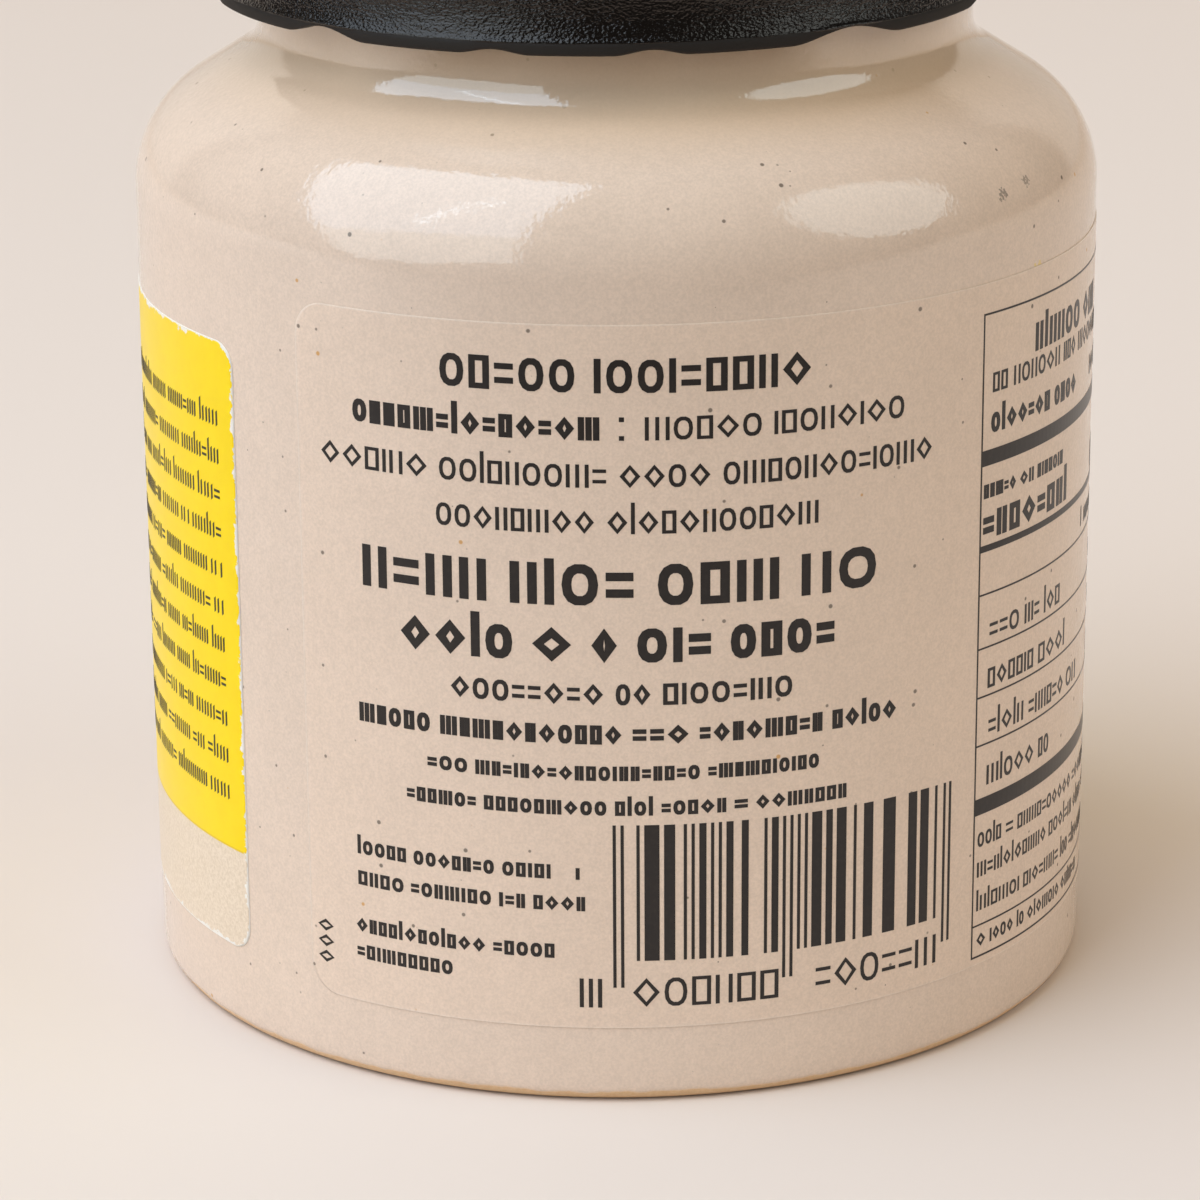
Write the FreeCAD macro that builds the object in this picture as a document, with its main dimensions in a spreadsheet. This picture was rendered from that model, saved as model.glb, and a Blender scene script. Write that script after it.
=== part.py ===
"""Small stoneware condiment jar with a wax-look cap and two wrap-round labels.

Millimetres, +Z up. The origin is the centre of the foot, on the surface that the jar
stands on. -Y is the side with the clear information label.
"""
import FreeCAD, Part
import Sketcher
import os

from FreeCAD import Placement, Rotation, Vector

doc = FreeCAD.newDocument("StonewareJar")

# ---------------------------------------------------------------- driving sizes
# alias, value, meaning. Lengths in millimetres, angles in degrees.
SIZES = [
    ("jar_diameter", 65.0, "outside of the straight side"),
    ("side_height", 58.8, "foot to where side and shoulder slope would meet"),
    ("foot_round", 1.2, "rounded edge of the foot"),
    ("shoulder_slope", 32.0, "fall of the shoulder, degrees from level"),
    ("shoulder_round", 7.7, "radius between side and shoulder"),
    ("neck_diameter", 48.0, "outside of the neck"),
    ("neck_length", 15.0, "shoulder slope to the mouth"),
    ("neck_round", 2.4, "hollow radius at the root of the neck"),
    ("mouth_round", 1.0, "rounded edge of the mouth"),
    ("cap_clearance", 0.85, "radial play of the cap on the neck"),
    ("cap_touch", 0.05, "play left on the side the cap is pushed against"),
    ("cap_wall", 0.75, "skirt thickness"),
    ("cap_top", 1.8, "thickness of the top"),
    ("cap_reveal", 3.3, "neck left bare below the cap"),
    ("cap_round", 2.0, "rounded top edge of the cap"),
    ("lip_flare", 0.55, "how far the lower lip stands out from the skirt"),
    ("lip_height", 0.8, "height of the flared lip"),
    ("paper", 0.12, "thickness of the paper label"),
    ("film", 0.12, "thickness of the clear label"),
    ("film_width", 74.0, "clear label, measured round the jar"),
    ("film_turn", 51.1, "left edge of the clear label, degrees round from -X towards -Y"),
    ("label_gap", 6.05, "bare strip between the labels, measured round the jar"),
    ("film_foot", 5.3, "foot to the clear label"),
    ("film_head", 2.45, "clear label to the end of the straight side"),
    ("paper_foot", 5.95, "foot to the paper label"),
    ("paper_head", 6.6, "paper label to the end of the straight side"),
    ("film_corner", 2.2, "corner radius of the clear label"),
    ("paper_corner", 1.8, "corner radius of the paper label"),
]

# The lower lip is nicked by shallow uneven scallops, like set wax.
# degrees round from -Y towards +X, width at the lip's edge, height
SCALLOPS = [
    (-43.0, 6.9, 0.66),
    (-15.5, 4.6, 0.32),
    (6.5, 4.8, 0.36),
    (36.5, 8.9, 0.78),
    (71.0, 5.6, 0.45),
    (98.0, 7.6, 0.62),
    (131.0, 4.4, 0.30),
    (157.0, 6.2, 0.70),
    (-171.0, 5.0, 0.40),
    (-140.0, 8.2, 0.74),
    (-108.0, 4.7, 0.34),
    (-79.0, 6.0, 0.52),
]

ROD_PAST_LIP = 1.0  # how far the rods that cut the scallops reach past the lip
MATCH = 1e-4        # edges are told apart to this many millimetres

sheet = doc.addObject("Spreadsheet::Sheet", "Sizes")
for row, (alias, value, meaning) in enumerate(SIZES, start=1):
    sheet.set("A%d" % row, meaning)
    sheet.set("B%d" % row, str(value))
    sheet.setAlias("B%d" % row, alias)
doc.recompute()

# ---------------------------------------------------------------- derived sizes
# Written once as expressions on the sheet, and used by every piece that meets there.
JAR_R = "Sizes.jar_diameter / 2"
NECK_R = "Sizes.neck_diameter / 2"
NECK_ROOT_Z = "(Sizes.side_height + (%s - %s) * tan(Sizes.shoulder_slope))" % (JAR_R, NECK_R)
MOUTH_Z = "(%s + Sizes.neck_length)" % NECK_ROOT_Z
STRAIGHT_Z = "(Sizes.side_height - Sizes.shoulder_round * tan((90 - Sizes.shoulder_slope) / 2))"
BORE_R = "(%s + Sizes.cap_clearance)" % NECK_R
SKIRT_R = "(%s + Sizes.cap_wall)" % BORE_R
LIP_R = "(%s + Sizes.lip_flare)" % SKIRT_R
CAP_EDGE_Z = "(%s + Sizes.cap_reveal)" % NECK_ROOT_Z
CAP_TOP_Z = "(%s + Sizes.cap_top)" % MOUTH_Z
CAP_X = "-(Sizes.cap_clearance - Sizes.cap_touch)"
FILM_START = "(180 + Sizes.film_turn)"
FILM_ANGLE = "(Sizes.film_width / (%s) * 180 / pi)" % JAR_R
GAP_ANGLE = "(Sizes.label_gap / (%s) * 180 / pi)" % JAR_R


def size(expression):
    """The present value of an expression on the sheet, in mm or degrees."""
    found = sheet.evalExpression(expression)
    return float(getattr(found, "Value", found))


# ---------------------------------------------------------------- building blocks
def origin_plane(body, role):
    """One of a body's own base planes."""
    return next(f for f in body.Origin.OriginFeatures if f.Role == role)


def turned_body(name, corners):
    """A body made by turning a closed outline of straight runs about its own Z axis.

    corners is a list of (radius, height) pairs of expressions. A radius of "0" lies on
    the axis and a height of "0" on the ground.
    """
    body = doc.addObject("PartDesign::Body", name)
    sketch = body.newObject("Sketcher::SketchObject", name + "Outline")
    sketch.AttachmentSupport = (origin_plane(body, "XZ_Plane"), [""])
    sketch.MapMode = "FlatFace"
    spots = [Vector(size(radius), size(height), 0) for radius, height in corners]
    for index, spot in enumerate(spots):
        following = spots[(index + 1) % len(spots)]
        sketch.addGeometry(Part.LineSegment(spot, following), False)
    for index in range(len(spots)):
        following = (index + 1) % len(spots)
        sketch.addConstraint(Sketcher.Constraint("Coincident", index, 2, following, 1))
    for index, (radius, height) in enumerate(corners):
        bind_corner(sketch, index, "DistanceX", -2, radius, spots[index].x)
        bind_corner(sketch, index, "DistanceY", -1, height, spots[index].y)
    turned = body.newObject("PartDesign::Revolution", name + "Turned")
    turned.Profile = sketch
    turned.ReferenceAxis = (sketch, ["V_Axis"])
    turned.Angle = 360
    doc.recompute()
    return body


def bind_corner(sketch, line, kind, axis, expression, value):
    """Ties the start of a line to an axis of the sketch, or at a bound distance from it."""
    if expression == "0":
        sketch.addConstraint(Sketcher.Constraint("PointOnObject", line, 1, axis))
        return
    index = sketch.addConstraint(Sketcher.Constraint(kind, -1, 1, line, 1, value))
    name = "%s%d" % (kind, line)
    sketch.renameConstraint(index, name)
    sketch.setExpression("Constraints." + name, expression)


def ring_edge(shape, radius, height):
    """Name of the circular edge of that radius about Z at that height."""
    for index, edge in enumerate(shape.Edges, start=1):
        curve = edge.Curve
        if not isinstance(curve, Part.Circle):
            continue
        if abs(curve.Radius - radius) < MATCH and abs(curve.Center.z - height) < MATCH:
            return "Edge%d" % index
    raise ValueError("no round edge of radius %.3f at height %.3f" % (radius, height))


def round_ring(body, name, radius, height, fillet):
    """Rounds the circular edge at (radius, height), all three given as expressions."""
    unrounded = body.Tip
    edge = ring_edge(unrounded.Shape, size(radius), size(height))
    rounded = body.newObject("PartDesign::Fillet", name)
    rounded.Base = (unrounded, [edge])
    rounded.Radius = size(fillet)
    rounded.setExpression("Radius", fillet)
    body.Tip = rounded
    doc.recompute()


# ---------------------------------------------------------------- stoneware jar
def make_jar():
    """Foot, straight side, sloping shoulder and neck, turned in one piece."""
    body = turned_body("JarBody", [
        ("0", "0"),
        (JAR_R, "0"),
        (JAR_R, "Sizes.side_height"),
        (NECK_R, NECK_ROOT_Z),
        (NECK_R, MOUTH_Z),
        ("0", MOUTH_Z),
    ])
    round_ring(body, "ShoulderRound", JAR_R, "Sizes.side_height", "Sizes.shoulder_round")
    round_ring(body, "NeckRound", NECK_R, NECK_ROOT_Z, "Sizes.neck_round")
    round_ring(body, "FootRound", JAR_R, "0", "Sizes.foot_round")
    round_ring(body, "MouthRound", NECK_R, MOUTH_Z, "Sizes.mouth_round")
    body.Label = "jar"
    return body


# ---------------------------------------------------------------- cap
def make_scallops():
    """Radial rods whose tops nick the lip, one for each scallop."""
    rods = []
    for number, (turn, width, height) in enumerate(SCALLOPS, start=1):
        rod_radius = (width ** 2 / 4 + height ** 2) / (2 * height)
        rod = doc.addObject("Part::Cylinder", "Scallop%d" % number)
        rod.Radius = rod_radius
        rod.setExpression("Height", "%s + %g" % (LIP_R, ROD_PAST_LIP))
        outwards = Rotation(Vector(0, 0, 1), turn - 90) * Rotation(Vector(0, 1, 0), 90)
        rod.Placement = Placement(Vector(0, 0, 0), outwards)
        rod.setExpression("Placement.Base.x", CAP_X)
        rod.setExpression("Placement.Base.z", "%s + %g - %g" % (CAP_EDGE_Z, height, rod_radius))
        rods.append(rod)
    joined = doc.addObject("Part::MultiFuse", "Scallops")
    joined.Shapes = rods
    return joined


def make_cap():
    """A cup over the neck, resting on the mouth and pushed to one side of its play."""
    body = turned_body("CapBody", [
        (BORE_R, CAP_EDGE_Z),
        (LIP_R, CAP_EDGE_Z),
        (SKIRT_R, "%s + Sizes.lip_height" % CAP_EDGE_Z),
        (SKIRT_R, CAP_TOP_Z),
        ("0", CAP_TOP_Z),
        ("0", MOUTH_Z),
        (BORE_R, MOUTH_Z),
    ])
    round_ring(body, "CapRound", SKIRT_R, CAP_TOP_Z, "Sizes.cap_round")
    body.setExpression("Placement.Base.x", CAP_X)
    cap = doc.addObject("Part::Cut", "Cap")
    cap.Base = body
    cap.Tool = make_scallops()
    cap.Label = "cap"
    return cap


# ---------------------------------------------------------------- labels
def make_label(name, label, start, angle, foot, head, thickness, corner):
    """A skin on the straight side, with its four corners rounded.

    start and angle are the left edge and the sweep in degrees, foot and head the margins
    left below and above it on the straight side, all expressions.
    """
    height = "%s - %s - %s" % (STRAIGHT_Z, foot, head)
    wedge = doc.addObject("Part::Cylinder", name + "Wedge")
    core = doc.addObject("Part::Cylinder", name + "Core")
    wedge.setExpression("Angle", angle)
    wedge.setExpression("Radius", "%s + %s" % (JAR_R, thickness))
    core.setExpression("Radius", JAR_R)
    # The core's seam is turned into the bare strip, so that it doesn't split the skin.
    for piece, turn in ((wedge, start), (core, "%s - %s / 2" % (start, GAP_ANGLE))):
        piece.Placement = Placement(Vector(0, 0, 0), Rotation(Vector(0, 0, 1), size(turn)))
        piece.setExpression("Placement.Rotation.Angle", turn)
        piece.setExpression("Placement.Base.z", foot)
        piece.setExpression("Height", height)
    skin = doc.addObject("Part::Cut", name + "Skin")
    skin.Base = wedge
    skin.Tool = core
    doc.recompute()
    radius = size(corner)
    rounded = doc.addObject("Part::Fillet", name + "Rounded")
    rounded.Base = skin
    rounded.Edges = [(index, radius, radius) for index in short_edges(skin.Shape, size(thickness))]
    rounded.Label = label
    return rounded


def short_edges(shape, length):
    """Numbers of the straight edges of that length: the corners of a skin."""
    return [index for index, edge in enumerate(shape.Edges, start=1)
            if isinstance(edge.Curve, Part.Line) and abs(edge.Length - length) < MATCH]


def make_labels():
    """The clear label, and the paper label that fills the rest of the way round."""
    film = make_label("Film", "clear_label", FILM_START, FILM_ANGLE,
                      "Sizes.film_foot", "Sizes.film_head", "Sizes.film", "Sizes.film_corner")
    paper_start = "(%s + %s + %s - 360)" % (FILM_START, FILM_ANGLE, GAP_ANGLE)
    paper_angle = "(360 - %s - 2 * %s)" % (FILM_ANGLE, GAP_ANGLE)
    paper = make_label("Paper", "paper_label", paper_start, paper_angle,
                       "Sizes.paper_foot", "Sizes.paper_head", "Sizes.paper", "Sizes.paper_corner")
    return [film, paper]


# ---------------------------------------------------------------- write the parts
pieces = [make_jar(), make_cap()] + make_labels()
doc.recompute()

for item in doc.Objects:
    if "Invalid" in item.State or "Error" in item.State:
        raise RuntimeError("%s did not build: %s" % (item.Label, item.State))
for piece in pieces:
    if piece.Shape.isNull() or not piece.Shape.isValid():
        raise RuntimeError("%s has no sound shape" % piece.Label)

os.makedirs("parts", exist_ok=True)
for piece in pieces:
    piece.Shape.exportStep("parts/%s.step" % piece.Label)
    box = piece.Shape.BoundBox
    print("%-12s %d solid(s)  volume %10.2f  z %7.3f to %7.3f  x %7.3f to %7.3f"
          % (piece.Label, len(piece.Shape.Solids), piece.Shape.Volume,
             box.ZMin, box.ZMax, box.XMin, box.XMax))
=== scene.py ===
"""A small stoneware mustard jar, shut with a black wax-look cap.

Lengths are written in millimetres and angles round the jar in degrees from -Y towards +X.
The finished meshes are in metres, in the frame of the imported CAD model.
"""
import math

import bpy
import numpy as np
from mathutils import Matrix, Vector


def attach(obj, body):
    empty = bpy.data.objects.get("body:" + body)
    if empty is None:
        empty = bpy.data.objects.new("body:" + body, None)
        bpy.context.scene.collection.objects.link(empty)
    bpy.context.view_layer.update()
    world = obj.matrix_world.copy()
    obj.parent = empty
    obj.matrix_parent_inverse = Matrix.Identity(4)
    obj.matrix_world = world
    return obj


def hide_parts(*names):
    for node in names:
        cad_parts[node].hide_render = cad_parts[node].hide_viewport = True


MM = 0.001

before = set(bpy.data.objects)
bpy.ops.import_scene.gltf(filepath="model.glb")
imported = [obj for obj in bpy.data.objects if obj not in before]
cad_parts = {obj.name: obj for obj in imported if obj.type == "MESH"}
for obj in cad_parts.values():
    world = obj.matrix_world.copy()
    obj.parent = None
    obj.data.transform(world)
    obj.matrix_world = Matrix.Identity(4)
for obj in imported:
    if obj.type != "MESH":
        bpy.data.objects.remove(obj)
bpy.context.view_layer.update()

# ---------------------------------------------------------------- sizes
JAR_R = 32.5
FOOT_ROUND = 1.2
STRAIGHT_TOP = 54.53
SHOULDER_ROUND = 7.7
SHOULDER_SLOPE = 32.0
NECK_R = 24.0
NECK_ROUND = 2.4
MOUTH_Z = 79.11
MOUTH_ROUND = 1.0

CAP_X = -0.8
BORE_R = 24.85
SKIRT_R = 25.6
LIP_R = 26.15
CAP_EDGE_Z = 67.41
CAP_TOP_Z = 80.91
CAP_ROUND = 2.0
LIP_BAND = 0.8

# Nicks in the lower lip of the cap: degrees round, width, height.
SCALLOPS = [
    (-43.0, 6.9, 0.66),
    (-15.5, 4.6, 0.32),
    (6.5, 4.8, 0.36),
    (36.5, 8.9, 0.78),
    (71.0, 5.6, 0.45),
    (98.0, 7.6, 0.62),
    (131.0, 4.4, 0.30),
    (157.0, 6.2, 0.70),
    (-171.0, 5.0, 0.40),
    (-140.0, 8.2, 0.74),
    (-108.0, 4.7, 0.34),
    (-79.0, 6.0, 0.52),
]

# Each label: left and right edge measured round the jar, foot, head and corner radius.
FILM = (-22.05, 51.93, 5.32, 52.06, 2.2)
PAPER = (58.02, 176.04, 5.97, 47.91, 1.8)
FILM_LEAN = -0.0064
BEIGE_TOP = 12.95
ROUND = 2 * math.pi * JAR_R

# Columns of faces round the turned pieces and round the oval's border.
JAR_COLUMNS = 360
CAP_COLUMNS = 480
BAND_COLUMNS = 160

# How far each layer stands off the side of the jar.
SUNK = -0.05
SHEET = 0.06
INK_BACK = 0.02
INK = 0.075
FIELD = 0.067


# ---------------------------------------------------------------- meshes
def make_piece(name, points, faces, material, nodes=(), smooth=True):
    """A closed mesh that rides on the object. points are in mm; faces is a list of arrays of corners."""
    mesh = bpy.data.meshes.new(name)
    corners = np.concatenate([part.ravel() for part in faces]).astype(np.int32)
    sizes = np.concatenate([np.full(len(part), part.shape[1]) for part in faces])
    starts = np.concatenate([[0], np.cumsum(sizes)[:-1]]).astype(np.int32)
    mesh.vertices.add(len(points))
    mesh.vertices.foreach_set("co", (points * MM).astype(np.float32).ravel())
    mesh.loops.add(len(corners))
    mesh.loops.foreach_set("vertex_index", corners)
    mesh.polygons.add(len(sizes))
    mesh.polygons.foreach_set("loop_start", starts)
    mesh.polygons.foreach_set("use_smooth", np.full(len(sizes), smooth))
    mesh.update(calc_edges=True)
    mesh.validate()
    mesh.materials.append(material)
    piece = bpy.data.objects.new(name, mesh)
    bpy.context.scene.collection.objects.link(piece)
    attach(piece, "root")
    if nodes:
        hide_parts(*nodes)
    return piece


def joined(parts):
    """One set of points and faces out of several."""
    points = []
    faces = []
    base = 0
    for own_points, own_faces in parts:
        points.append(own_points)
        faces.extend(part + base for part in own_faces)
        base += len(own_points)
    return np.concatenate(points), faces


def arc(centre_r, centre_z, radius, start, end, count):
    """Radii and heights along an arc. start and end are degrees from level outwards."""
    angle = np.radians(np.linspace(start, end, count))
    return centre_r + radius * np.cos(angle), centre_z + radius * np.sin(angle)


def line(r0, z0, r1, z1, count):
    """Radii and heights along a straight run, without its two ends."""
    share = np.linspace(0, 1, count + 2)[1:-1]
    return r0 + (r1 - r0) * share, z0 + (z1 - z0) * share


def turned_faces(rows, columns):
    """Faces of a turned surface: point 0 is its first pole, then rings of points, then the last pole."""
    ring = 1 + np.arange(rows * columns).reshape(rows, columns)
    beside = np.roll(ring, -1, axis=1)
    quads = np.stack([ring[:-1], beside[:-1], beside[1:], ring[1:]], -1).reshape(-1, 4)
    first = np.stack([np.zeros(columns, int), beside[0], ring[0]], -1)
    last = np.stack([ring[-1], beside[-1], np.full(columns, 1 + rows * columns)], -1)
    return [quads, first, last]


def turned_points(radius, height, turn, poles, centre_x=0.0):
    """Points of a turned surface about an upright axis.

    radius and height are grids of rings by turns. poles are the heights of the two end points.
    """
    grid = np.stack([centre_x + radius * np.sin(turn), -radius * np.cos(turn), height], -1)
    low = [[centre_x, 0.0, poles[0]]]
    high = [[centre_x, 0.0, poles[1]]]
    return np.concatenate([low, grid.reshape(-1, 3), high])


def hollow_depth(turn, height):
    """How far the thrown side lies inside its true circle, 0 to 0.05 mm.

    The sum of four slow waves round the jar, each twisting a little with height, and of
    a faint ripple up the side, moved and scaled to stay between 0 and 0.05.
    """
    waves = np.cos(2 * turn + 0.7 + 0.03 * height)
    waves = waves + 0.7 * np.cos(3 * turn - 1.1 - 0.05 * height)
    waves = waves + 0.4 * np.cos(5 * turn + 0.09 * height)
    waves = waves + 0.25 * np.cos(9 * turn - 0.17 * height)
    waves = waves + 0.3 * np.cos(0.83 * height + 0.8 * np.cos(turn))
    return 0.025 * (1 + waves / 2.65)


def on_side(along, height, lift):
    """Points over the side of the jar: along is measured round it, lift is the distance off it."""
    turn = along / JAR_R
    radius = JAR_R - hollow_depth(turn, height) + lift
    return np.stack([radius * np.sin(turn), -radius * np.cos(turn), height], -1)


def slab_faces(rows, columns):
    """Faces of a closed slab: a front grid of rows by columns, then the same grid behind it."""
    front = np.arange(rows * columns).reshape(rows, columns)
    back = front + rows * columns
    face = np.stack([front[:-1, :-1], front[:-1, 1:], front[1:, 1:], front[1:, :-1]], -1)
    behind = np.stack([back[:-1, :-1], back[1:, :-1], back[1:, 1:], back[:-1, 1:]], -1)
    rim = np.concatenate([front[0, :-1], front[:-1, -1], front[-1, :0:-1], front[:0:-1, 0]])
    after = np.roll(rim, -1)
    wall = np.stack([rim, rim + rows * columns, after + rows * columns, after], -1)
    return [face.reshape(-1, 4), behind.reshape(-1, 4), wall]


def slab(along, height, front, back):
    """A closed slab over the side of the jar, from grids of places, and its face's and back's lift."""
    points = [on_side(along, height, lift).reshape(-1, 3) for lift in (front, back)]
    return np.concatenate(points), slab_faces(*along.shape)


def rectangle(left, right, foot, head, corner, columns, rows):
    """Grids of places over a rectangle with rounded corners, and their distances from its edge.

    The rows lie closer together towards foot and head. Each row is shortened at both ends
    by what the corner circles take off at its height.
    """
    u = np.linspace(0, 1, columns)
    v = 0.5 - 0.5 * np.cos(np.pi * np.linspace(0, 1, rows))
    height = foot + (head - foot) * v
    into = np.clip(corner - np.minimum(height - foot, head - height), 0, corner)
    cut = corner - np.sqrt(np.maximum(corner ** 2 - into ** 2, 0))
    along = (left + cut)[:, None] + (right - left - 2 * cut)[:, None] * u[None, :]
    height = np.broadcast_to(height[:, None], along.shape)
    beyond_x = np.abs(along - (left + right) / 2) - ((right - left) / 2 - corner)
    beyond_z = np.abs(height - (foot + head) / 2) - ((head - foot) / 2 - corner)
    outer = np.hypot(np.maximum(beyond_x, 0), np.maximum(beyond_z, 0))
    inner = np.minimum(np.maximum(beyond_x, beyond_z), 0)
    return along, height, corner - outer - inner


def add_place(piece, along, height, edge):
    """Keeps each point's place on its label, in mm: round the jar, up it, and in from the edge."""
    store = piece.data.attributes.new("place", "FLOAT_VECTOR", "POINT")
    front = np.stack([along, height, edge], -1).reshape(-1, 3)
    store.data.foreach_set("vector", np.concatenate([front, front]).astype(np.float32).ravel())


# ---------------------------------------------------------------- node helpers
def add(tree, kind, values=None, **settings):
    """A node of that kind. settings sets its properties, then values sets or links its inputs."""
    node = tree.nodes.new(kind)
    for key, value in settings.items():
        setattr(node, key, value)
    for key, value in (values or {}).items():
        if isinstance(value, bpy.types.NodeSocket):
            tree.links.new(value, node.inputs[key])
        else:
            node.inputs[key].default_value = value
    return node


def calc(tree, operation, first, second=0.0, third=0.0):
    """The result of one Math node."""
    values = {0: first, 1: second, 2: third}
    return add(tree, "ShaderNodeMath", values, operation=operation).outputs[0]


def fade(tree, value, low, high, at_low=0.0, at_high=1.0):
    """Moves smoothly from at_low to at_high as value goes from low to high."""
    values = {"Value": value, "From Min": low, "From Max": high, "To Min": at_low, "To Max": at_high}
    return add(tree, "ShaderNodeMapRange", values, interpolation_type="SMOOTHSTEP").outputs["Result"]


def blend(tree, share, first, second, mode="MIX"):
    """One colour laid over another."""
    values = {0: share, 6: first, 7: second}
    return add(tree, "ShaderNodeMix", values, data_type="RGBA", blend_type=mode).outputs[2]


def noise(tree, vector, scale, detail=2.0, roughness=0.5):
    """Noise from 0 to 1 about 0.5. scale is in waves a millimetre."""
    values = {"Vector": vector, "Scale": scale, "Detail": detail, "Roughness": roughness}
    return add(tree, "ShaderNodeTexNoise", values).outputs["Fac"]


def millimetres(tree):
    """Object coordinates in mm."""
    place = add(tree, "ShaderNodeTexCoord").outputs["Object"]
    values = {0: place, "Scale": 1 / MM}
    return add(tree, "ShaderNodeVectorMath", values, operation="SCALE").outputs[0]


def rgb(red, green, blue):
    """A colour given as 0 to 255 screen values, as the linear colour of a socket."""
    shares = [value / 255 for value in (red, green, blue)]
    return tuple(s / 12.92 if s <= 0.04045 else ((s + 0.055) / 1.055) ** 2.4 for s in shares) + (1.0,)


def group(name, inputs, outputs):
    """A shader node group with those sockets. inputs and outputs are (name, type, value) rows."""
    tree = bpy.data.node_groups.new(name, "ShaderNodeTree")
    for label, kind, value in inputs:
        socket = tree.interface.new_socket(name=label, in_out="INPUT", socket_type="NodeSocket" + kind)
        if value is not None:
            socket.default_value = value
    for label, kind in outputs:
        tree.interface.new_socket(name=label, in_out="OUTPUT", socket_type="NodeSocket" + kind)
    return tree, tree.nodes.new("NodeGroupInput").outputs, tree.nodes.new("NodeGroupOutput").inputs


def use(tree, made, values):
    """A group in a material, with its inputs set or linked."""
    return add(tree, "ShaderNodeGroup", values, node_tree=made)


def material(name, constants):
    """A material with one Principled shader, whose fixed inputs are set here."""
    made = bpy.data.materials.new(name)
    made.use_nodes = True
    shader = made.node_tree.nodes["Principled BSDF"]
    for key, value in constants.items():
        shader.inputs[key].default_value = value
    return made, made.node_tree, shader


# ---------------------------------------------------------------- shared groups
def stoneware_group():
    """Colour and fine relief of the fired glaze, by place in mm."""
    tree, given, result = group(
        "Stoneware",
        [("Place", "Vector", None), ("Glaze", "Color", rgb(224, 202, 184))],
        [("Color", "Color"), ("Height", "Float")],
    )
    place = given["Place"]
    cloud = noise(tree, place, 0.16, 3.0, 0.55)
    mottle = noise(tree, place, 1.6, 3.0, 0.6)
    grain = noise(tree, place, 5.5, 2.0, 0.6)
    cloudy = fade(tree, cloud, 0.3, 0.7, 0.985, 1.015)
    mottled = fade(tree, mottle, 0.3, 0.7, 0.975, 1.02)
    grainy = fade(tree, grain, 0.3, 0.7, 0.945, 1.045)
    shade = calc(tree, "MULTIPLY", calc(tree, "MULTIPLY", cloudy, mottled), grainy)
    grey = add(tree, "ShaderNodeCombineXYZ", {0: shade, 1: shade, 2: shade}).outputs[0]
    colour = blend(tree, 1.0, given["Glaze"], grey, "MULTIPLY")
    cells = add(tree, "ShaderNodeTexVoronoi", {"Vector": place, "Scale": 0.9, "Randomness": 1.0})
    lot = add(tree, "ShaderNodeSeparateXYZ", {0: cells.outputs["Color"]}).outputs
    size = fade(tree, lot[0], 0.3, 1.0, 0.05, 0.17)
    speck = fade(tree, calc(tree, "DIVIDE", cells.outputs["Distance"], size), 0.55, 1.0, 1.0, 0.0)
    chosen = calc(tree, "LESS_THAN", lot[1], 0.34)
    warm = calc(tree, "GREATER_THAN", lot[2], 0.9)
    dark = calc(tree, "MULTIPLY", speck, chosen)
    dark = calc(tree, "MULTIPLY", dark, fade(tree, lot[0], 0.0, 1.0, 0.35, 0.85))
    tint = blend(tree, warm, rgb(96, 84, 74), rgb(206, 150, 70))
    colour = blend(tree, dark, colour, tint)
    tree.links.new(colour, result["Color"])
    ripple = noise(tree, place, 0.33, 2.0, 0.4)
    peel = noise(tree, place, 2.7, 2.0, 0.4)
    relief = calc(tree, "MULTIPLY", ripple, 0.022)
    relief = calc(tree, "ADD", relief, calc(tree, "MULTIPLY", peel, 0.0160))
    relief = calc(tree, "ADD", relief, calc(tree, "MULTIPLY", grain, 0.0010))
    relief = calc(tree, "SUBTRACT", relief, calc(tree, "MULTIPLY", dark, 0.002))
    tree.links.new(relief, result["Height"])
    return tree


def spot_group():
    """A ragged spot round one place: 1 inside, 0 outside."""
    tree, given, result = group(
        "Spot",
        [
            ("Place", "Vector", None),
            ("Centre", "Vector", None),
            ("Size", "Float", 1.0),
            ("Grain", "Float", 2.0),
        ],
        [("Mask", "Float")],
    )
    gap = add(tree, "ShaderNodeVectorMath", {0: given["Place"], 1: given["Centre"]}, operation="DISTANCE")
    near = fade(tree, calc(tree, "DIVIDE", gap.outputs["Value"], given["Size"]), 0.3, 1.0, 1.0, 0.0)
    ragged = noise(tree, given["Place"], given["Grain"], 3.0)
    mask = calc(tree, "ADD", near, calc(tree, "MULTIPLY", ragged, 2.6))
    tree.links.new(fade(tree, mask, 2.05, 2.25), result["Mask"])
    return tree


def ink_group():
    """Colour of printing ink, a little uneven."""
    tree, given, result = group(
        "Ink",
        [("Place", "Vector", None), ("Ink", "Color", rgb(32, 26, 24))],
        [("Color", "Color"), ("Height", "Float")],
    )
    patch = noise(tree, given["Place"], 3.0, 3.0, 0.6)
    share = fade(tree, patch, 0.4, 0.8, 0.0, 0.05)
    tree.links.new(blend(tree, share, given["Ink"], rgb(120, 104, 92)), result["Color"])
    tree.links.new(calc(tree, "MULTIPLY", patch, 0.002), result["Height"])
    return tree


stoneware = stoneware_group()
spot = spot_group()
ink = ink_group()


def bump(tree, height, shader, strength=1.0):
    """Feeds a height in mm to a shader as relief."""
    node = add(tree, "ShaderNodeBump", {"Height": height, "Distance": MM, "Strength": strength})
    tree.links.new(node.outputs[0], shader.inputs["Normal"])


# ---------------------------------------------------------------- materials
GLAZE = rgb(224, 202, 184)
GLAZE_UNDER_FILM = rgb(228, 205, 186)
# Painted shade: the warmer colour laid over the neck, which lies in the cap's shade.
NECK_PAINTED_SHADE = rgb(221, 192, 160)


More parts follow.
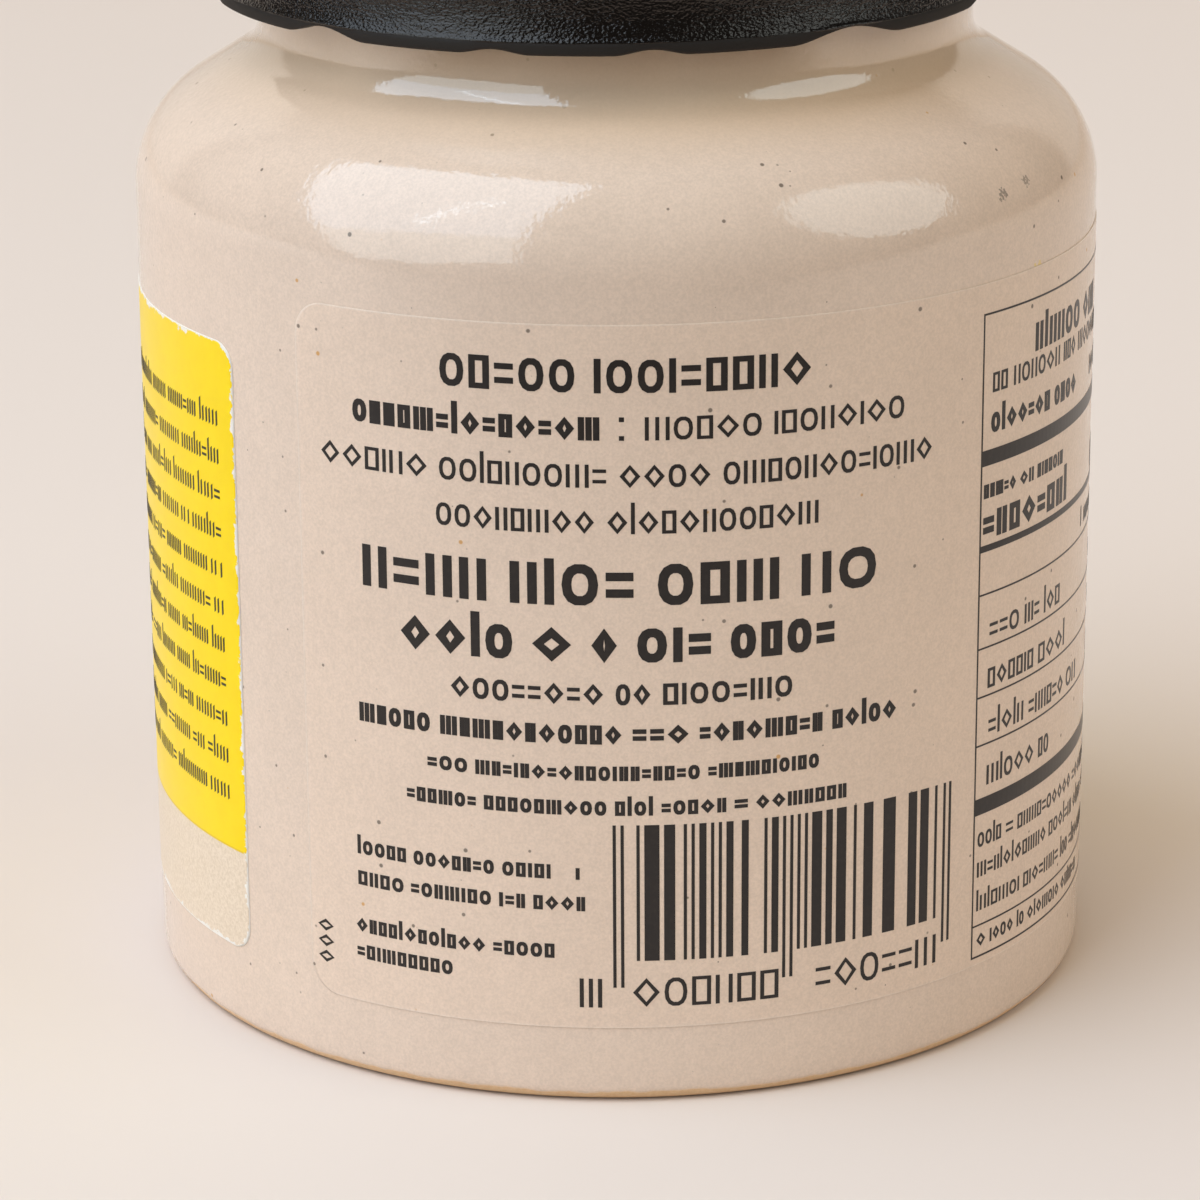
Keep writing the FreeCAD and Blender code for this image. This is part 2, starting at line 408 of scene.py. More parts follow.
def glaze_material():
    """Glazed stoneware with a thicker, glossier coat in the neck, whose colour there is warmed as painted
    shade; bare and tan at the foot, with a few scuffs.
    """
    made, tree, shader = material("glazed stoneware", {"IOR": 1.5, "Specular IOR Level": 0.85})
    place = millimetres(tree)
    ware = use(tree, stoneware, {"Place": place, "Glaze": GLAZE})
    height = add(tree, "ShaderNodeSeparateXYZ", {0: place}).outputs[2]
    # Over the neck: an extra coat, and the colour warmed as painted shade.
    neck_coat_and_painted_shade = fade(tree, height, 60.5, 64.5)
    colour = blend(tree, calc(tree, "MULTIPLY", neck_coat_and_painted_shade, 0.75), ware.outputs["Color"], NECK_PAINTED_SHADE)
    tree.links.new(calc(tree, "MULTIPLY", neck_coat_and_painted_shade, 0.8), shader.inputs["Coat Weight"])
    edge = noise(tree, place, 0.5, 3.0, 0.6)
    limit = calc(tree, "ADD", 0.42, calc(tree, "MULTIPLY", edge, 0.7))
    bare = fade(tree, calc(tree, "SUBTRACT", limit, height), -0.08, 0.1)
    clay = blend(tree, noise(tree, place, 3.0, 3.0, 0.7), rgb(206, 164, 116), rgb(232, 200, 160))
    colour = blend(tree, bare, colour, clay)
    for turn, up, size, grain, share, tint in (
        (49.8, 57.3, 0.8, 4.5, 0.7, rgb(120, 112, 104)),
        (55.0, 57.7, 0.75, 5.0, 0.6, rgb(120, 112, 104)),
        (56.0, 51.6, 1.3, 3.0, 0.6, rgb(236, 204, 96)),
    ):
        radius = JAR_R if up < STRAIGHT_TOP else JAR_R - 0.6
        turn = math.radians(turn)
        centre = (radius * math.sin(turn), -radius * math.cos(turn), up)
        mark = use(tree, spot, {"Place": place, "Centre": centre, "Size": size, "Grain": grain})
        colour = blend(tree, calc(tree, "MULTIPLY", mark.outputs[0], share), colour, tint)
    tree.links.new(colour, shader.inputs["Base Color"])
    rough = fade(tree, bare, 0.0, 1.0, 0.035, 0.75)
    tree.links.new(rough, shader.inputs["Roughness"])
    bump(tree, ware.outputs["Height"], shader)
    return made


def film_material():
    """Clear satin film: the glaze shows through, and a thin painted highlight runs along the edge."""
    finish = {"IOR": 1.46, "Roughness": 0.16, "Specular IOR Level": 0.7}
    made, tree, shader = material("clear film", finish)
    place = millimetres(tree)
    ware = use(tree, stoneware, {"Place": place, "Glaze": GLAZE_UNDER_FILM})
    where = add(tree, "ShaderNodeAttribute", attribute_name="place").outputs["Vector"]
    edge = add(tree, "ShaderNodeSeparateXYZ", {0: where}).outputs[2]
    # Painted highlight: a lighter line all along the film's edge, standing in for its edge catching the
    # light.
    rim = fade(tree, edge, 0.05, 0.12, 1.0, 0.0)
    tinted = blend(tree, 0.02, ware.outputs["Color"], rgb(196, 176, 158))
    colour = blend(tree, calc(tree, "MULTIPLY", rim, 0.22), tinted, rgb(240, 232, 224))
    tree.links.new(colour, shader.inputs["Base Color"])
    wave = calc(tree, "MULTIPLY", noise(tree, place, 0.12, 1.0, 0.4), 0.05)
    bump(tree, calc(tree, "ADD", ware.outputs["Height"], wave), shader)
    return made


def paper_material():
    """Yellow coated paper over a beige strip, worn white along its edges."""
    finish = {"IOR": 1.45, "Roughness": 0.32, "Specular IOR Level": 0.3}
    made, tree, shader = material("label paper", finish)
    place = millimetres(tree)
    where = add(tree, "ShaderNodeAttribute", attribute_name="place").outputs["Vector"]
    parts = add(tree, "ShaderNodeSeparateXYZ", {0: where}).outputs
    cloud = noise(tree, place, 0.5, 3.0, 0.6)
    yellow = blend(tree, fade(tree, cloud, 0.3, 0.7), rgb(250, 214, 2), rgb(253, 218, 8))
    fibre = noise(tree, place, 4.5, 3.0, 0.7)
    beige = blend(tree, fade(tree, fibre, 0.3, 0.7), rgb(219, 199, 175), rgb(237, 219, 198))
    step = calc(tree, "SUBTRACT", parts[1], BEIGE_TOP)
    colour = blend(tree, fade(tree, step, -0.03, 0.03), beige, yellow)
    off_line = calc(tree, "ABSOLUTE", calc(tree, "SUBTRACT", step, 0.06))
    colour = blend(tree, fade(tree, off_line, 0.04, 0.1, 0.5, 0.0), colour, rgb(206, 168, 20))
    chips = noise(tree, place, 1.1, 4.0, 0.65)
    reach = fade(tree, chips, 0.42, 0.75, 0.06, 0.55)
    worn = fade(tree, calc(tree, "SUBTRACT", reach, parts[2]), -0.03, 0.03)
    colour = blend(tree, worn, colour, rgb(240, 234, 226))
    tree.links.new(colour, shader.inputs["Base Color"])
    relief = calc(tree, "ADD", calc(tree, "MULTIPLY", fibre, 0.003), calc(tree, "MULTIPLY", worn, -0.01))
    bump(tree, relief, shader)
    return made


def ink_material(name, tint, roughness):
    """Printing ink."""
    made, tree, shader = material(name, {"IOR": 1.46, "Roughness": roughness})
    patch = use(tree, ink, {"Place": millimetres(tree), "Ink": tint})
    tree.links.new(patch.outputs["Color"], shader.inputs["Base Color"])
    bump(tree, patch.outputs["Height"], shader)
    return made


def cap_material():
    """Black plastic made to look like dipped wax: wrinkled on the skirt, smooth on the lip."""
    finish = {"IOR": 1.5, "Specular IOR Level": 0.58, "Specular Tint": (1.0, 0.87, 0.78, 1.0)}
    made, tree, shader = material("black wax-look plastic", finish)
    place = millimetres(tree)
    height = add(tree, "ShaderNodeSeparateXYZ", {0: place}).outputs[2]
    wander = calc(tree, "MULTIPLY", noise(tree, place, 0.5, 2.0, 0.5), 0.12)
    lip_top = CAP_EDGE_Z + LIP_BAND
    lip = fade(tree, calc(tree, "ADD", height, wander), lip_top, lip_top + 0.15, 1.0, 0.0)
    colour = blend(tree, lip, rgb(5, 4, 4), rgb(8, 5, 3))
    tree.links.new(colour, shader.inputs["Base Color"])
    level = add(tree, "ShaderNodeMapping", {"Vector": place, "Scale": (0.12, 0.12, 1.0)}).outputs[0]
    wrinkled = add(tree, "ShaderNodeMapping", {"Vector": place, "Scale": (0.65, 0.65, 1.0)}).outputs[0]
    streak = calc(tree, "MULTIPLY", noise(tree, level, 2.6, 1.0, 0.4), 0.07)
    peel = calc(tree, "MULTIPLY", noise(tree, wrinkled, 7.0, 2.0, 0.35), 0.095)
    grain = calc(tree, "ADD", streak, peel)
    fine = calc(tree, "MULTIPLY", noise(tree, level, 6.0, 2.0, 0.5), 0.012)
    relief = add(tree, "ShaderNodeMix", {0: lip, 2: grain, 3: fine}, data_type="FLOAT").outputs[0]
    tree.links.new(fade(tree, lip, 0.0, 1.0, 0.07, 0.7), shader.inputs["Roughness"])
    bump(tree, relief, shader)
    return made


glazed = glaze_material()
film = film_material()
paper = paper_material()
film_ink = ink_material("dark ink on film", rgb(32, 26, 24), 0.3)
paper_ink = ink_material("dark ink on paper", rgb(58, 48, 22), 0.45)
cream = ink_material("cream print", rgb(240, 228, 196), 0.45)
brown = ink_material("brown print", rgb(112, 70, 38), 0.45)
black_wax = cap_material()


# ---------------------------------------------------------------- jar and cap
def make_jar():
    """The jar in one closed surface, turned about its axis.

    The outline runs from the middle of the foot out over the foot round, up the straight
    side, round the shoulder, down its slope to the neck and over the mouth to the axis.
    Every ring is drawn in by hollow_depth at its turn and height.
    """
    slope = math.radians(SHOULDER_SLOPE)
    shoulder_r = JAR_R - SHOULDER_ROUND
    cone_r = shoulder_r + SHOULDER_ROUND * math.sin(slope)
    cone_z = STRAIGHT_TOP + SHOULDER_ROUND * math.cos(slope)
    hollow_r = NECK_R + NECK_ROUND
    drop = NECK_ROUND - (hollow_r - cone_r) * math.sin(slope)
    hollow_z = cone_z + drop / math.cos(slope)
    joint_r = hollow_r - NECK_ROUND * math.sin(slope)
    joint_z = hollow_z - NECK_ROUND * math.cos(slope)
    runs = [
        line(0, 0, JAR_R - FOOT_ROUND, 0, 8),
        arc(JAR_R - FOOT_ROUND, FOOT_ROUND, FOOT_ROUND, -90, 0, 9),
        line(JAR_R, FOOT_ROUND, JAR_R, STRAIGHT_TOP, 62),
        arc(shoulder_r, STRAIGHT_TOP, SHOULDER_ROUND, 0, 90 - SHOULDER_SLOPE, 34),
        line(cone_r, cone_z, joint_r, joint_z, 8),
        arc(hollow_r, hollow_z, NECK_ROUND, 270 - SHOULDER_SLOPE, 180, 14),
        line(NECK_R, hollow_z, NECK_R, MOUTH_Z - MOUTH_ROUND, 8),
        arc(NECK_R - MOUTH_ROUND, MOUTH_Z - MOUTH_ROUND, MOUTH_ROUND, 0, 90, 5),
        line(NECK_R - MOUTH_ROUND, MOUTH_Z, 0, MOUTH_Z, 4),
    ]
    radius = np.concatenate([run[0] for run in runs])[:, None]
    height = np.concatenate([run[1] for run in runs])[:, None]
    turn = np.linspace(0, 2 * np.pi, JAR_COLUMNS + 1)[None, :-1]
    inwards = hollow_depth(turn, height) * np.minimum(radius / JAR_R, 1)
    points = turned_points(radius - inwards, height + 0 * turn, turn + 0 * height, (0, MOUTH_Z))
    faces = turned_faces(len(radius), JAR_COLUMNS)
    make_piece("glazed_jar", points, faces, glazed, ["jar"])


def scallop_rise(turn):
    """How far the lip's edge is raised at a turn: a smooth bump for each scallop."""
    rise = np.zeros_like(turn)
    for centre, width, height in SCALLOPS:
        away = np.degrees(turn) - centre
        away = (away + 180) % 360 - 180
        reach = np.clip(np.radians(away) * LIP_R / (width / 2), -1, 1)
        rise = rise + height * (0.5 + 0.5 * np.cos(np.pi * reach)) ** 0.85
    return rise


def make_cap():
    """The cap in one closed surface, turned about its own axis.

    The outline runs from the middle of the inside of its top out to the bore, down the
    bore, across the lip's edge, up the flared lip and the skirt, and over the rounded
    edge to the middle of the top. The edge of the lip rises at the scallops, and the skirt
    leans in and out by slow waves, like wax that has run.
    """
    runs = [
        line(0, MOUTH_Z, BORE_R, MOUTH_Z, 4),
        line(BORE_R, MOUTH_Z + 0.4, BORE_R, CAP_EDGE_Z, 10),
        arc(BORE_R + 0.2, CAP_EDGE_Z + 0.2, 0.2, 180, 270, 4),
        arc(LIP_R - 0.22, CAP_EDGE_Z + 0.22, 0.22, -90, 0, 6),
        arc(LIP_R - 0.30, CAP_EDGE_Z + 0.62, 0.30, 0, 55, 4),
        line(LIP_R - 0.20, CAP_EDGE_Z + 0.92, SKIRT_R, CAP_EDGE_Z + 2.2, 5),
        line(SKIRT_R, CAP_EDGE_Z + 2.2, SKIRT_R, CAP_TOP_Z - CAP_ROUND, 26),
        arc(SKIRT_R - CAP_ROUND, CAP_TOP_Z - CAP_ROUND, CAP_ROUND, 0, 90, 12),
        line(SKIRT_R - CAP_ROUND, CAP_TOP_Z, 0, CAP_TOP_Z, 12),
    ]
    radius = np.concatenate([run[0] for run in runs])[:, None]
    height = np.concatenate([run[1] for run in runs])[:, None]
    inside_rows = sum(len(run[0]) for run in runs[:3])
    outside = np.arange(len(radius))[:, None] >= inside_rows
    turn = np.linspace(0, 2 * np.pi, CAP_COLUMNS + 1)[None, :-1]
    near_lip = np.clip(1 - (height - CAP_EDGE_Z) / 1.1, 0, 1)
    lifted = height + scallop_rise(turn) * near_lip
    waves = np.cos(3 * turn + 0.4) + 0.8 * np.cos(7 * turn - 1.0 + 0.35 * height)
    waves = waves + 0.6 * np.cos(13 * turn + 0.6 * height)
    waves = waves + 0.5 * np.cos(0.9 * height + 2 * np.cos(2 * turn))
    body = np.clip((height - CAP_EDGE_Z) / 2.5, 0, 1) * outside
    inwards = 0.06 * (1 + waves / 2.9) * body
    points = turned_points(radius - inwards, lifted, turn + 0 * height, (MOUTH_Z, CAP_TOP_Z), CAP_X)
    faces = turned_faces(len(radius), CAP_COLUMNS)
    make_piece("wax_cap", points, faces, black_wax, ["cap"])


make_jar()
make_cap()


# ---------------------------------------------------------------- labels
def make_label(name, label, made, node, columns, rows):
    """A sheet stuck on the side of the jar, in one closed slab."""
    along, height, edge = rectangle(*label, columns, rows)
    points, faces = slab(along, height, SHEET, SUNK)
    piece = make_piece(name, points, faces, made, [node])
    add_place(piece, along, height, edge)


make_label("clear_film", FILM, film, "clear_label", 260, 90)
make_label("paper_sheet", PAPER, paper, "paper_label", 380, 90)


# ---------------------------------------------------------------- print
# Widths of the small shapes that rows are made of, as shares of their height.
WIDTHS = {"ring": 0.74, "diamond": 0.86, "tile": 0.62, "levels": 0.56, "pair": 0.56, "three": 0.94}
PLAIN = {
    "ring": 0.16, "diamond": 0.20, "tile": 0.17, "levels": 0.13,
    "pair": 0.13, "three": 0.08, "post": 0.05, "tall": 0.08,
}
PICKET = {"post": 0.20, "tall": 0.17, "pair": 0.36, "three": 0.15, "levels": 0.12}


class Print:
    """Strokes of print gathered for one label, as flat shapes in mm over the side of the jar.

    lean is how much the rows climb for each mm round the jar.
    """

    def __init__(self, seed, lean=0.0):
        self.random = np.random.default_rng(seed)
        self.lean = lean
        self.bars = []
        self.ovals = []
        self.rules = []

    def bar(self, left, right, foot, head, cut=0.0):
        """A short straight stroke. cut is how far its ends drop on the left and rise on the right."""
        self.bars.append((left, right, foot, head, cut))

    def mark(self, kind, left, wide, foot, small, tall, stroke, cut):
        """One small shape of a row, wide mm across."""
        right = left + wide
        head = foot + (tall if kind == "tall" else small)
        if kind in ("post", "tall"):
            self.bar(left, right, foot, head, cut)
        elif kind in ("pair", "three"):
            count = 2 if kind == "pair" else 3
            for step in range(count):
                start = left + (wide - stroke) * step / (count - 1)
                self.bar(start, start + stroke, foot, head, cut)
        elif kind == "tile":
            self.rule(left, right, foot, foot + 0.85 * stroke)
            self.rule(left, right, head - 0.85 * stroke, head)
            self.bar(left, left + stroke, foot + 0.85 * stroke, head - 0.85 * stroke)
            self.bar(right - stroke, right, foot + 0.85 * stroke, head - 0.85 * stroke)
        elif kind == "levels":
            for level in (foot + 0.2 * small, head - 0.2 * small - 0.9 * stroke):
                self.rule(left, right, level, level + 0.9 * stroke)
        elif kind == "diamond":
            self.ovals.append((left, right, foot, head, 1.25 * stroke, 4))
        else:
            self.ovals.append((left, right, foot, head, stroke, 14))

    def word(self, left, right, foot, small, tall, stroke, odds, gap, cut):
        """Marks drawn by lot until they fill the length, then spread to end flush."""
        kinds = list(odds)
        chances = np.array([odds[kind] for kind in kinds])
        chosen = []
        wides = []
        while not chosen or sum(wides) + gap * len(wides) < right - left - 0.35 * small:
            kind = str(self.random.choice(kinds, p=chances / chances.sum()))
            if chosen and kind in ("post", "tall") and chosen[-1] in ("post", "tall"):
                continue
            chosen.append(kind)
            wides.append(max(WIDTHS.get(kind, 0) * small, stroke))
        fixed = sum(wide for wide in wides if wide <= stroke)
        loose = sum(wides) - fixed
        spare = right - left - sum(wides) - gap * (len(wides) - 1)
        steps = gap * (len(wides) - 1)
        share = 1 + spare / (loose + steps) if loose + steps > 0 else 1.0
        place = left
        for kind, wide in zip(chosen, wides):
            wide = wide if wide <= stroke else wide * share
            self.mark(kind, place, wide, foot, small, tall, stroke, cut)
            place += wide + gap * share

    def row(self, left, right, foot, small, tall, stroke, shares, odds=PLAIN, space=0.55, gap=0.15, cut=0.0):
        """A row of words from left to right. shares are the words' lengths beside each other.

        small and tall are the heights of the marks. space and gap, between words and between
        marks, are shares of small.
        """
        space = space * small
        length = right - left - space * (len(shares) - 1)
        place = left
        for share in shares:
            wide = length * share / sum(shares)
            self.word(place, place + wide, foot, small, tall, stroke, odds, gap * small, cut)
            place += wide + space

    def rule(self, left, right, foot, head):
        """A level bar of any length."""
        self.rules.append((left, right, foot, head))


def bar_parts(sheet):
    """All short bars as prisms: four corners in front, then the same four behind."""
    left, right, foot, head, cut = np.array(sheet.bars).T
    along = np.stack([left, right, right, left], -1)
    height = np.stack([foot - cut, foot + cut, head + cut, head - cut], -1)
    height = height + sheet.lean * along
    points = np.stack([on_side(along, height, INK), on_side(along, height, INK_BACK)], 1)
    faces = [(0, 1, 2, 3), (7, 6, 5, 4), (0, 4, 5, 1), (1, 5, 6, 2), (2, 6, 7, 3), (3, 7, 4, 0)]
    base = 8 * np.arange(len(left))[:, None, None]
    return points.reshape(-1, 3), [(base + np.array(faces)[None]).reshape(-1, 4)]


def ring_parts(sheet, sides):
    """All rings of that many sides, each a tube of four edges along its own line.

    The line is an oval drawn out a little towards its box, between the outer edge and an
    inner edge one stroke in. With four sides it is a diamond.
    """
    rows = [row[:5] for row in sheet.ovals if row[5] == sides]
    left, right, foot, head, stroke = [column[:, None] for column in np.array(rows).T]
    turn = 2 * np.pi * np.arange(sides)[None, :] / sides
    across = np.sign(np.cos(turn)) * np.abs(np.cos(turn)) ** 0.86
    up = np.sign(np.sin(turn)) * np.abs(np.sin(turn)) ** 0.86
    layers = []
    for inset in (0 * stroke, stroke):
        along = (left + right) / 2 + ((right - left) / 2 - inset) * across
        height = (foot + head) / 2 + ((head - foot) / 2 - inset) * up + sheet.lean * along
        layers.append(on_side(along, height, INK))
        layers.append(on_side(along, height, INK_BACK))
    points = np.stack(layers, 1)
    here = np.arange(sides)
    beside = np.roll(here, -1)
    outer, outer_back, inner, inner_back = [here + sides * layer for layer in range(4)]
    quads = [
        np.stack([outer, beside, beside + 2 * sides, inner], -1),
        np.stack([outer_back, inner_back, beside + 3 * sides, beside + sides], -1),
        np.stack([outer, outer_back, beside + sides, beside], -1),
        np.stack([inner, beside + 2 * sides, beside + 3 * sides, inner_back], -1),
    ]
    base = 4 * sides * np.arange(len(rows))[:, None, None]
    return points.reshape(-1, 3), [(base + quad[None]).reshape(-1, 4) for quad in quads]


def rule_parts(sheet):
    """Each level bar as a slab with a column of points every half millimetre or so."""
    parts = []
    for left, right, foot, head in sheet.rules:
        columns = int((right - left) / 0.6) + 2
        u, v = np.meshgrid(np.linspace(0, 1, columns), [0.0, 1.0])
        along = left + (right - left) * u
        height = foot + (head - foot) * v + sheet.lean * along
        parts.append(slab(along, height, INK, INK_BACK))
    return parts


def make_print(name, sheet, made):
    """One mesh of all the print on a label."""
    parts = rule_parts(sheet)
    if sheet.bars:
        parts.append(bar_parts(sheet))
    for sides in sorted({row[5] for row in sheet.ovals}):
        parts.append(ring_parts(sheet, sides))
    points, faces = joined(parts)
    make_piece(name, points, faces, made, smooth=False)


def stripe_block(sheet, left, right, foot, head, guard):
    """Upright stripes of mixed widths, with longer pairs at both ends and in the middle."""
    count = 57
    widths = sheet.random.choice([1, 1, 1, 2, 2, 3, 4], size=count)
    middle = count // 2
    last = count - 1
    pairs = (0, 2, middle, middle + 2, last - 2, last)
    widths[[0, 1, 2, middle, middle + 1, middle + 2, last - 2, last - 1, last]] = 1
    module = (right - left) / widths.sum()
    starts = left + module * np.concatenate([[0], np.cumsum(widths)[:-1]])
    for index in range(0, count, 2):
        low = guard if index in pairs else foot
        right = starts[index] + widths[index] * module
        sheet.bar(starts[index] + 0.02, right - 0.02, low, head)


def front_print():
    """Rows, a block of stripes and a ruled panel on the clear film."""
    sheet = Print(11, FILM_LEAN)
    # Left, right, foot, height of small and of tall marks, stroke, and the words' lengths.
    for row in (
        (-11.4, 12.1, 47.73, 2.15, 2.2, 0.43, (137, 219)),
        (-17.6, -1.3, 44.7, 1.5, 2.1, 0.40, (1,)),
        (1.5, 18.9, 44.7, 1.5, 2.05, 0.25, (116, 145)),
        (-20.1, 21.2, 41.65, 1.5, 2.05, 0.25, (112, 154, 82, 214)),
        (-11.8, 12.7, 38.66, 1.5, 2.05, 0.25, (157, 210)),
        (-17.1, 16.9, 33.95, 2.75, 3.05, 0.62, (132, 120, 120, 82)),
        (-14.4, 13.9, 30.19, 2.3, 3.0, 0.60, (103, 34, 22, 64, 96)),
        (-11.0, 11.0, 27.37, 1.43, 1.45, 0.29, (152, 34, 130)),
        (-17.6, 18.6, 24.75, 1.28, 1.75, 0.34, (75, 172, 52, 120, 70)),
        (-12.7, 12.9, 22.3, 0.98, 1.32, 0.27, (41, 217, 112)),
        (-14.2, 14.9, 19.95, 0.98, 1.32, 0.27, (65, 108, 33, 57, 12, 86)),
        (-18.0, -4.6, 15.55, 0.98, 1.32, 0.26, (46, 70, 40)),
        (-3.0, -2.7, 15.55, 0.8, 0.8, 0.26, (1,)),
        (-18.0, -2.4, 13.4, 0.98, 1.32, 0.26, (50, 81, 25, 49)),
        (-18.2, -4.4, 10.1, 0.98, 1.32, 0.26, (131, 57)),
        (-18.2, -11.2, 8.25, 0.98, 1.32, 0.26, (1,)),
        (-2.8, -1.35, 6.75, 2.0, 2.05, 0.27, (1,)),
        (0.63, 10.2, 6.8, 2.0, 2.05, 0.27, (1,)),
        (12.8, 22.3, 6.85, 2.0, 2.05, 0.27, (1,)),
    ):
        sheet.row(*row)
    sheet.bar(-0.1, 0.22, 44.7, 45.0)
    sheet.bar(-0.1, 0.22, 45.9, 46.2)
    for level in (7.3, 8.4, 9.5):
        sheet.ovals.append((-21.4, -20.1, level, level + 0.85, 0.24, 4))
    stripe_block(sheet, -0.65, 23.51, 10.0, 19.3, 8.15)
    panel(sheet)
    make_print("film_print", sheet, film_ink)


def panel(sheet):
    """A framed table: thin outline, thick and thin rules, and rows of marks."""
    left, right, foot, head = 25.75, 50.6, 6.0, 50.25
    line = 0.13
    sheet.rule(left, right, foot, foot + line)
    sheet.rule(left, right, head - line, head)
    sheet.bar(left, left + line, foot + line, head - line)
    sheet.bar(right - line, right, foot + line, head - line)
    for low, high in (
        (40.1, 41.15),
        (34.3, 34.75),
        (31.34, 31.46),
        (27.66, 27.78),
        (24.31, 24.43),
        (20.95, 21.07),
        (16.15, 17.3),
        (8.24, 8.36),
    ):
        sheet.rule(left + line, right - line, low, high)
    for row in (
        (31.7, 44.8, 46.6, 1.9, 2.5, 0.42, (9, 5)),
        (26.8, 46.5, 44.9, 1.3, 1.8, 0.22, (2, 8, 3, 9)),
        (26.7, 38.9, 42.2, 1.35, 1.9, 0.36, (7, 4)),
        (43.5, 49.8, 42.2, 1.35, 1.9, 0.36, (1,)),
        (26.1, 36.5, 37.9, 0.95, 1.3, 0.25, (6, 3, 7)),
        (26.1, 37.4, 35.15, 1.85, 2.5, 0.50, (1,)),
        (45.8, 49.9, 35.15, 1.85, 2.5, 0.50, (1,)),
        (41.5, 49.9, 32.1, 1.0, 1.4, 0.26, (1, 5, 5)),
        (27.0, 36.6, 28.2, 1.35, 1.9, 0.24, (5, 3, 4)),
        (47.0, 49.9, 28.2, 1.35, 1.9, 0.26, (1,)),
        (26.9, 37.8, 24.85, 1.35, 1.9, 0.24, (6, 5)),
        (47.0, 49.9, 24.85, 1.35, 1.9, 0.26, (1,)),
        (27.1, 41.0, 21.5, 1.35, 1.9, 0.24, (5, 7, 3)),
        (47.0, 49.9, 21.5, 1.35, 1.9, 0.26, (1,)),
        (27.0, 35.2, 18.1, 1.35, 1.9, 0.24, (7, 2)),
        (26.2, 48.5, 13.85, 1.05, 1.5, 0.2, (3, 1, 11, 6, 2)),
        (26.2, 49.5, 11.75, 1.05, 1.5, 0.2, (12, 7, 5, 5)),
        (26.2, 47.2, 9.35, 1.05, 1.5, 0.2, (6, 7, 2, 8)),
        (26.3, 43.2, 6.75, 0.95, 1.2, 0.2, (1, 3, 1, 6, 5)),
    ):
        sheet.row(*row)


def paper_print():
    """Close rows at the two ends of the paper label."""
    sheet = Print(23)
    right = -30.05 + ROUND
    for index in range(11):
        foot = 42.15 - 2.575 * index
        shares = sheet.random.integers(2, 9, size=5)
        sheet.row(right - 18.0, right, foot, 0.98, 1.5, 0.19, shares, PICKET, 0.55, 0.17, 0.07)
    left = PAPER[0] + 4.0
    for index in range(9):
        foot = 40.0 - 2.575 * index
        shares = sheet.random.integers(2, 9, size=4)
        sheet.row(left, left + 15.0, foot, 0.98, 1.5, 0.19, shares, PICKET, 0.55, 0.17, 0.07)
    make_print("paper_print", sheet, paper_ink)


def oval_field(name, centre, level, half_width, half_height, made):
    """A flat oval over the side of the jar, in rows as wide as the oval is at their height."""
    v = 0.998 * np.sin(np.pi / 2 * np.linspace(-1, 1, 60))
    u = np.linspace(-1, 1, 100)
    along = centre + half_width * np.sqrt(1 - v ** 2)[:, None] * u[None, :]
    height = level + half_height * np.broadcast_to(v[:, None], along.shape)
    points, faces = slab(along, height, FIELD, INK_BACK)
    make_piece(name, points, faces, made)


def oval_band(name, centre, level, half_width, half_height, border, made):
    """A flat band that follows an oval, border mm wide, over the side of the jar."""
    turn = np.linspace(0, 2 * np.pi, BAND_COLUMNS + 1)[None, :-1]
    inset = np.linspace(0, border, 3)[:, None]
    along = centre + (half_width - inset) * np.cos(turn)
    height = level + (half_height - inset) * np.sin(turn)
    points = np.concatenate([on_side(along, height, lift).reshape(-1, 3) for lift in (INK, INK_BACK)])
    count = along.size
    here = np.arange(count).reshape(along.shape)
    beside = np.roll(here, -1, axis=1)
    front = np.stack([here[:-1], beside[:-1], beside[1:], here[1:]], -1).reshape(-1, 4)
    outside = np.stack([here[0], here[0] + count, beside[0] + count, beside[0]], -1)
    inside = np.stack([here[2], beside[2], beside[2] + count, here[2] + count], -1)
    make_piece(name, points, [front, front[:, ::-1] + count, outside, inside], made)


def far_side():
    """The main face of the paper label: an oval field with a border and plain bars in it."""
    centre = (PAPER[0] + PAPER[1]) / 2
    level = 30.0
    border = 0.9
    half_width = 21.6
    half_height = 14.1
    under = 0.6
    oval_field("cream_oval", centre, level, half_width - under, half_height - under, cream)
    oval_band("brown_border", centre, level, half_width, half_height, border, brown)
    sheet = Print(5)
    for left, right, foot, head in (
        (-10.0, 10.0, 35.2, 37.0),
        (-15.5, 15.5, 30.2, 33.4),
        (-15.5, 15.5, 26.4, 27.0),
        (-8.0, 8.0, 22.6, 24.0),
    ):
        sheet.rule(centre + left, centre + right, foot, head)
    make_print("oval_print", sheet, brown)


front_print()
paper_print()
far_side()


# ---------------------------------------------------------------- stage
LAMP_REACH = 1.2
HEART = Vector((0.0, 0.0, 0.058))


def make_floor():
    """A wide pale floor. To all but the camera it grows dim a hand's breadth before the jar, a painted shade
    on the side towards the camera that reflections and bounce light pick up.
    """
    mesh = bpy.data.meshes.new("floor")
    turn = np.linspace(0, 2 * np.pi, 65)[:-1]
    points = np.stack([4 * np.cos(turn), 4 * np.sin(turn), 0 * turn], -1)
    mesh.from_pydata(points.tolist(), [], [list(range(64))])
    floor = bpy.data.objects.new("floor", mesh)
    bpy.context.scene.collection.objects.link(floor)
    made, tree, shader = material("floor", {"Roughness": 0.9, "Specular IOR Level": 0.2})
    place = add(tree, "ShaderNodeTexCoord").outputs["Object"]
    depth = add(tree, "ShaderNodeSeparateXYZ", {0: place}).outputs[1]
    pale = rgb(223, 213, 207)
    seen = add(tree, "ShaderNodeLightPath").outputs["Is Camera Ray"]
    # Painted shade: the floor in front of the jar is dark for reflections and bounce light only.
    painted_front_shade = blend(tree, fade(tree, depth, -0.24, -0.12), rgb(90, 84, 80), pale)
    tree.links.new(blend(tree, seen, painted_front_shade, pale), shader.inputs["Base Color"])
    mesh.materials.append(made)


